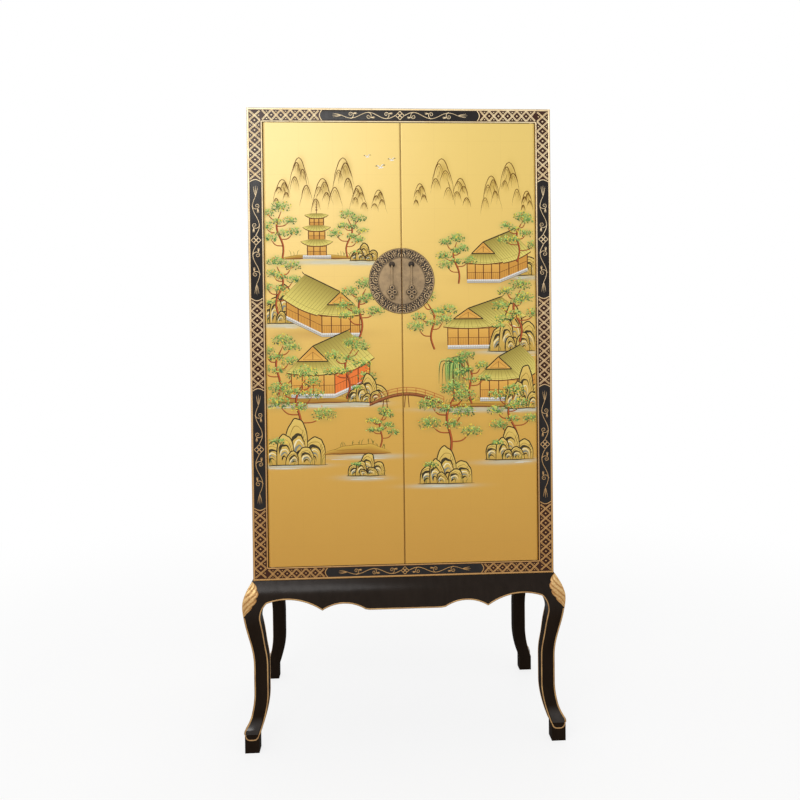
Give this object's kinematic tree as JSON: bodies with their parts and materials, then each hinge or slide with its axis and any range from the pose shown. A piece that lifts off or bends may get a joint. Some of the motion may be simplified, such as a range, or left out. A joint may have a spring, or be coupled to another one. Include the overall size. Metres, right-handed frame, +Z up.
{
  "type": "wardrobe",
  "caption": "Tall gold-leaf wardrobe with pivot-hung doors, round lock plate with hanging pulls, gilt lattice border and black cabriole stand.",
  "frame": {"origin": "on the floor, under the middle of the case", "axes": "+Z up, +Y from the doors to the back, +X to the right as seen from the front"},
  "size_m": [0.956, 0.556, 1.896],
  "materials": {
    "gold_leaf": "gold leaf, painted, under clear lacquer",
    "gilt_border": "dark lacquer with gilt lattice",
    "black_lacquer": "semi-gloss lacquer",
    "case_lacquer": "satin lacquer",
    "inside_wood": "stained, satin",
    "antique_brass": "antiqued",
    "zinc_steel": "zinc plated",
    "brown_plastic": "matt"
  },
  "bodies": {
    "cabinet": {"back_apron": "black_lacquer", "back_panel": "case_lacquer", "back_panel_screws": "zinc_steel", "bottom_rail": "gilt_border", "brace_bolts": "zinc_steel", "case_floor_panel": "case_lacquer", "case_to_stand_screws": "zinc_steel", "case_top_panel": "case_lacquer", "corner_brace_back_left": "inside_wood", "corner_brace_back_right": "inside_wood", "corner_brace_front_left": "inside_wood", "corner_brace_front_right": "inside_wood", "foot_door_stop": "inside_wood", "front_apron": "black_lacquer", "hanging_rail": "inside_wood", "hat_shelf": "inside_wood", "head_door_stop": "inside_wood", "inside_fitting_screws": "zinc_steel", "left_apron": "black_lacquer", "left_door_catch": "brown_plastic", "left_rail_socket": "antique_brass", "left_shelf_cleat": "inside_wood", "left_side_panel": "gold_leaf", "left_stile": "gilt_border", "leg_back_left": "black_lacquer", "leg_back_right": "black_lacquer", "leg_front_left": "black_lacquer", "leg_front_right": "black_lacquer", "lower_pivot_bushes": "antique_brass", "right_apron": "black_lacquer", "right_door_catch": "brown_plastic", "right_rail_socket": "antique_brass", "right_shelf_cleat": "inside_wood", "right_side_panel": "gold_leaf", "right_stile": "gilt_border", "top_rail": "gilt_border", "upper_pivot_bushes": "antique_brass"},
    "left_door": {"left_door_leaf": "gold_leaf", "left_door_lower_batten": "inside_wood", "left_door_upper_batten": "inside_wood", "left_door_pivot_pins": "antique_brass", "left_strike_plate": "zinc_steel", "left_lock_plate": "antique_brass", "left_pull_post": "antique_brass", "left_pull_pin": "antique_brass", "left_post_nut": "antique_brass"},
    "left_pull": {"left_pull": "antique_brass"},
    "right_door": {"right_door_leaf": "gold_leaf", "right_door_lower_batten": "inside_wood", "right_door_upper_batten": "inside_wood", "right_door_pivot_pins": "antique_brass", "right_strike_plate": "zinc_steel", "right_lock_plate": "antique_brass", "right_pull_post": "antique_brass", "right_pull_pin": "antique_brass", "right_post_nut": "antique_brass"},
    "right_pull": {"right_pull": "antique_brass"}
  },
  "joints": [
    {"name": "left_door_swing", "type": "hinge", "parent": "cabinet", "child": "left_door", "pos_m": [-0.393, -0.239, 1.1965], "axis": [0, 0, -1], "range_deg": [0, 95]},
    {"name": "right_door_swing", "type": "hinge", "parent": "cabinet", "child": "right_door", "pos_m": [0.393, -0.239, 1.1965], "axis": [0, 0, 1], "range_deg": [0, 95]},
    {"name": "left_pull_swing", "type": "hinge", "parent": "left_door", "child": "left_pull", "pos_m": [-0.029, -0.26, 1.434], "axis": [-1, 0, 0], "range_deg": [0, 80]},
    {"name": "right_pull_swing", "type": "hinge", "parent": "right_door", "child": "right_pull", "pos_m": [0.029, -0.26, 1.434], "axis": [-1, 0, 0], "range_deg": [0, 80]}
  ]
}
